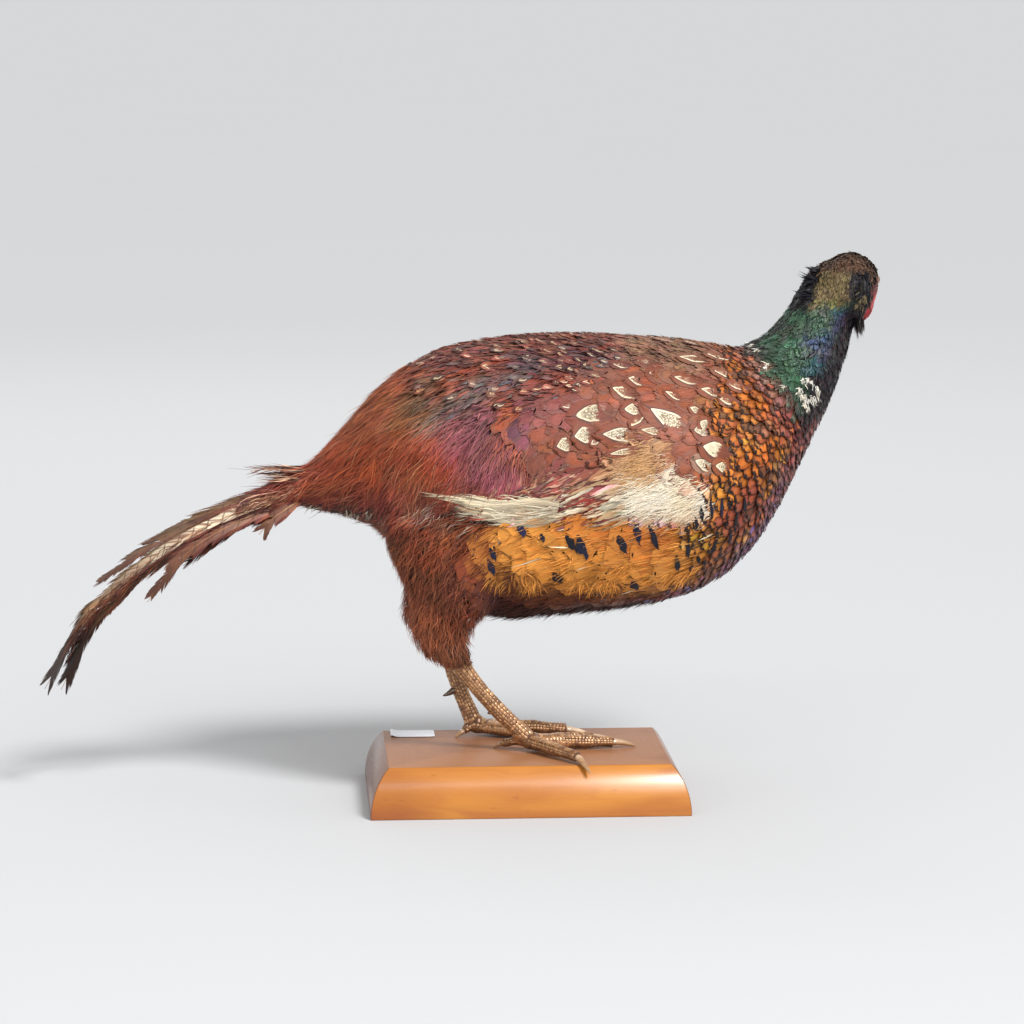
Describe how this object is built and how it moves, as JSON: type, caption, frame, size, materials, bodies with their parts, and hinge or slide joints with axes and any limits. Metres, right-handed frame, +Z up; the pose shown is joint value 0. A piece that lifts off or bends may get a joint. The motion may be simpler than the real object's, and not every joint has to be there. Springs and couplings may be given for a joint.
{
  "type": "taxidermy pheasant",
  "caption": "Life-size taxidermy cock pheasant standing with its head turned to its left and tail drooping, fixed on a rectangular varnished wood base with moulded edges.",
  "frame": {"origin": "middle of the wood base's underside", "axes": "+X the way the bird faces, +Y the bird's left, +Z up"},
  "size_m": [0.546, 0.1697, 0.3511],
  "materials": {
    "plumage": "soft contour feathers, chestnut and maroon with dark and cream marks",
    "neck_plumage": "short glossy green to violet feathers",
    "wing_feathers": "flat feathers, buff and brown with cream streaks",
    "tail_feathers": "long barred feathers with frayed edges",
    "thigh_plumage": "loose rufous brown down",
    "wattle": "rough red facial skin",
    "scaly_skin": "varnished scaly skin with a bronze sheen",
    "claws": "pale horn claws",
    "horn": "pale horn bill",
    "eye": "polished glass eye",
    "wood": "varnished, warm orange brown",
    "paper": "blank white paper"
  },
  "bodies": {
    "root": {"base": "wood", "bill_lower": "horn", "bill_upper": "horn", "claw_left_1": "claws", "claw_left_2": "claws", "claw_left_3": "claws", "claw_left_4": "claws", "claw_right_1": "claws", "claw_right_2": "claws", "claw_right_3": "claws", "claw_right_4": "claws", "ear_tuft_left": "neck_plumage", "ear_tuft_right": "neck_plumage", "eye_left": "eye", "eye_right": "eye", "foot_left": "scaly_skin", "foot_right": "scaly_skin", "head": "neck_plumage", "label": "paper", "neck": "neck_plumage", "spur_left": "claws", "spur_right": "claws", "tail": "tail_feathers", "tarsus_left": "scaly_skin", "tarsus_right": "scaly_skin", "thigh_left": "thigh_plumage", "thigh_right": "thigh_plumage", "trunk": "plumage", "wattle_left": "wattle", "wattle_right": "wattle", "wing_left": "wing_feathers", "wing_right": "wing_feathers"}
  },
  "joints": []
}
